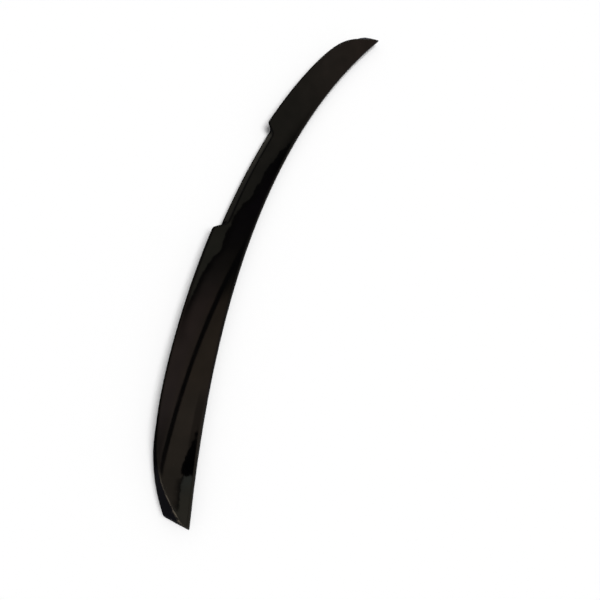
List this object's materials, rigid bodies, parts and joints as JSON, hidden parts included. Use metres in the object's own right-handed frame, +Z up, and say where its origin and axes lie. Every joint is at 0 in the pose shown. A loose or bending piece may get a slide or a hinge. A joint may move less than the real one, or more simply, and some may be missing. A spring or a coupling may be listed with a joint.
{
  "type": "car rear lip spoiler",
  "caption": "Slim curved lip spoiler for the rear edge of a car's boot lid: two raised wings with a lowered middle, a hollow ribbed underside and flat bonding lands.",
  "frame": {"origin": "middle of the rear bonding land on the car's centre line, at the level that the land rests on", "axes": "+X to the right across the car, seen from behind; +Y forward, from the rear land to the leading edge; +Z up"},
  "size_m": [1.1796, 0.1543, 0.0237],
  "materials": {
    "gloss_black": "high gloss black"
  },
  "bodies": {
    "root": {"spoiler": "gloss_black"}
  },
  "joints": []
}
